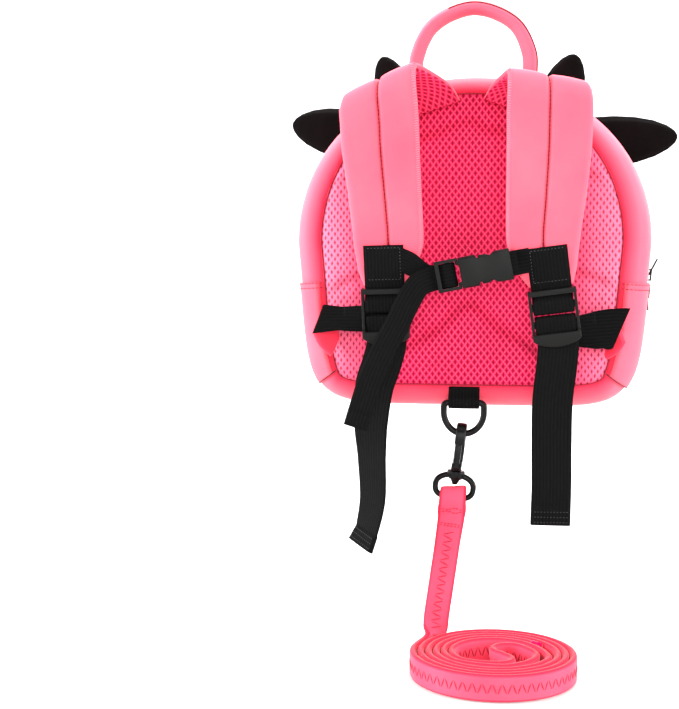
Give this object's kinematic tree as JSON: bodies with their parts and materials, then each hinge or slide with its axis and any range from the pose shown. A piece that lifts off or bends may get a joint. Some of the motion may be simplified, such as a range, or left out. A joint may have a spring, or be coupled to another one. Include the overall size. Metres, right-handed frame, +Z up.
{
  "type": "toddler harness backpack",
  "caption": "Small padded neoprene backpack for a toddler, with mesh back, soft horns, chest-strap buckle and a clip-on coiled tether.",
  "frame": {"origin": "where the grab handle hangs, under the middle of its top", "axes": "+Z up, the back panel that lies on the wearer faces -Y, +X to the right seen from that side"},
  "size_m": [0.2564, 0.1898, 0.4145],
  "materials": {
    "neoprene": "knit-faced neoprene, salmon pink",
    "mesh": "open spacer mesh, hot pink",
    "zip_cloth": "black woven zip tape with a nylon coil",
    "webbing": "black ribbed webbing",
    "plastic": "black moulded plastic, satin",
    "metal": "black lacquered metal, glossy",
    "horn_cloth": "black stretch cloth over soft padding"
  },
  "bodies": {
    "bag": {"gusset": "neoprene", "front_panel": "neoprene", "side_pocket_left": "neoprene", "side_pocket_right": "neoprene", "grab_handle": "neoprene", "shoulder_strap_left": "neoprene", "shoulder_strap_right": "neoprene", "side_tab_left": "neoprene", "side_tab_right": "neoprene", "leash": "neoprene", "back_panel": "mesh", "strap_mesh_left": "mesh", "strap_mesh_right": "mesh", "zip_tape": "zip_cloth", "strap_patch_left": "webbing", "strap_patch_right": "webbing", "lower_webbing_left": "webbing", "lower_webbing_right": "webbing", "chest_strap_left": "webbing", "chest_strap_right": "webbing", "d_ring_tab": "webbing", "ladder_lock_left": "plastic", "ladder_lock_right": "plastic", "buckle_male": "plastic", "buckle_female": "plastic", "d_ring": "metal", "swivel_eye": "metal", "zip_slider_upper": "metal", "zip_slider_lower": "metal", "horn_upper_left": "horn_cloth", "horn_upper_right": "horn_cloth", "horn_side_left": "horn_cloth", "horn_side_right": "horn_cloth"},
    "hook": {"snap_hook": "metal"},
    "gate": {"hook_gate": "metal"},
    "pull_upper": {"zip_pull_upper": "metal"},
    "pull_lower": {"zip_pull_lower": "metal"}
  },
  "joints": [
    {"name": "hook_swivel", "type": "hinge", "parent": "bag", "child": "hook", "pos_m": [-0.00736, -0.0305, -0.28642], "axis": [0.1219, 0, 0.9925], "range_deg": [-15, 15]},
    {"name": "gate_hinge", "type": "hinge", "parent": "hook", "child": "gate", "pos_m": [-0.00705, -0.0367, -0.28394], "axis": [-0.9925, 0, 0.1219], "range_deg": [0, 22], "stiffness_Nm_per_rad": 0.02},
    {"name": "pull_upper_hinge", "type": "hinge", "parent": "bag", "child": "pull_upper", "pos_m": [0.11424, 0.0428, -0.1651], "axis": [0, 1, 0], "range_deg": [-20, 85]},
    {"name": "pull_lower_hinge", "type": "hinge", "parent": "bag", "child": "pull_lower", "pos_m": [0.11324, 0.0428, -0.17666], "axis": [0, 1, 0], "range_deg": [-100, 4]}
  ]
}
